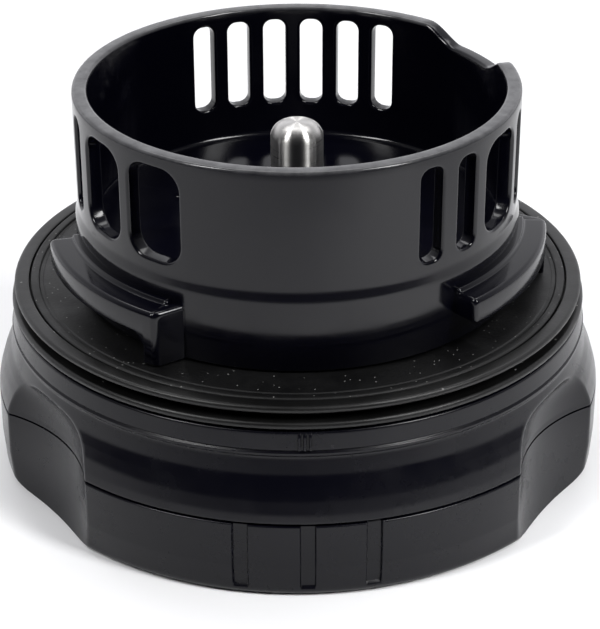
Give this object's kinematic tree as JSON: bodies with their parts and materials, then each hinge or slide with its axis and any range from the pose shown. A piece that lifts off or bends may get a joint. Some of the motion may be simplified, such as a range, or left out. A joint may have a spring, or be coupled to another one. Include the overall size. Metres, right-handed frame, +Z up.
{
  "type": "wave maker pump drive unit",
  "caption": "Twist-in motor end of an aquarium wave maker pump: slotted impeller cage with bayonet lugs, sealed flange, steel shaft and a grip collar.",
  "frame": {"origin": "centre of the foot, on the drive axis, at the surface the unit stands on", "axes": "+Z up along the drive axis towards the impeller cage's rim; -Y is the front, under the index mark on the collar"},
  "size_m": [0.094, 0.0928, 0.0599],
  "materials": {
    "cage_plastic": "glossy moulded black",
    "carrier_plastic": "matte moulded black",
    "grip_plastic": "satin moulded black",
    "seal_rubber": "matte black rubber",
    "polished_steel": "polished",
    "screw_steel": "bright",
    "spring_steel": "dull spring steel",
    "soft_iron": "dull iron",
    "magnet_grey": "dark sintered grey",
    "enamelled_copper": "enamelled copper wire",
    "board_green": "green solder mask",
    "chip_black": "black moulded package",
    "capacitor_can": "bright can"
  },
  "bodies": {
    "drive_body": {"impeller_cage": "cage_plastic", "seal_carrier": "carrier_plastic", "motor_housing": "carrier_plastic", "base_plate": "grip_plastic", "upper_seal_ring": "seal_rubber", "lower_seal_ring": "seal_rubber", "cage_o_ring": "seal_rubber", "shaft_seal": "seal_rubber", "base_gasket": "seal_rubber", "cable_grommet": "seal_rubber", "upper_bearing_outer_race": "polished_steel", "lower_bearing_outer_race": "polished_steel", "preload_washer": "spring_steel", "stator_core": "soft_iron", "coil_1": "enamelled_copper", "coil_2": "enamelled_copper", "coil_3": "enamelled_copper", "coil_4": "enamelled_copper", "coil_5": "enamelled_copper", "coil_6": "enamelled_copper", "coil_7": "enamelled_copper", "coil_8": "enamelled_copper", "coil_9": "enamelled_copper", "control_board": "board_green", "driver_chip": "chip_black", "capacitor_1": "capacitor_can", "capacitor_2": "capacitor_can", "hall_sensor_1": "chip_black", "hall_sensor_2": "chip_black", "hall_sensor_3": "chip_black", "twist_stop_pin": "polished_steel", "cage_screw_1": "screw_steel", "cage_screw_2": "screw_steel", "cage_screw_3": "screw_steel", "housing_screw_1": "screw_steel", "housing_screw_2": "screw_steel", "housing_screw_3": "screw_steel", "base_screw_1": "screw_steel", "base_screw_2": "screw_steel", "base_screw_3": "screw_steel", "board_screw_1": "screw_steel", "board_screw_2": "screw_steel", "board_screw_3": "screw_steel"},
    "rotor": {"drive_shaft": "polished_steel", "rotor_bell": "soft_iron", "ring_magnet": "magnet_grey", "upper_circlip": "spring_steel", "lower_circlip": "spring_steel", "upper_bearing_inner_race": "polished_steel", "lower_bearing_inner_race": "polished_steel"},
    "upper_ball_set": {"upper_bearing_ball_cage": "polished_steel"},
    "lower_ball_set": {"lower_bearing_ball_cage": "polished_steel"},
    "grip_collar": {"grip_shell": "grip_plastic", "grip_band": "grip_plastic", "collar_screw_1": "screw_steel", "collar_screw_2": "screw_steel", "collar_screw_3": "screw_steel"}
  },
  "joints": [
    {"name": "shaft_spin", "type": "hinge", "parent": "drive_body", "child": "rotor", "pos_m": [0, 0, 0], "axis": [0, 0, 1], "continuous": true},
    {"name": "upper_ball_orbit", "type": "hinge", "parent": "drive_body", "child": "upper_ball_set", "pos_m": [0, 0, 0], "axis": [0, 0, 1], "continuous": true},
    {"name": "lower_ball_orbit", "type": "hinge", "parent": "drive_body", "child": "lower_ball_set", "pos_m": [0, 0, 0], "axis": [0, 0, 1], "continuous": true},
    {"name": "grip_twist", "type": "hinge", "parent": "drive_body", "child": "grip_collar", "pos_m": [0, 0, 0], "axis": [0, 0, 1], "range_deg": [0, 30]}
  ],
  "couplings": [
    {"joint": "upper_ball_orbit", "follows": "shaft_spin", "ratio": 0.368},
    {"joint": "lower_ball_orbit", "follows": "shaft_spin", "ratio": 0.368}
  ]
}
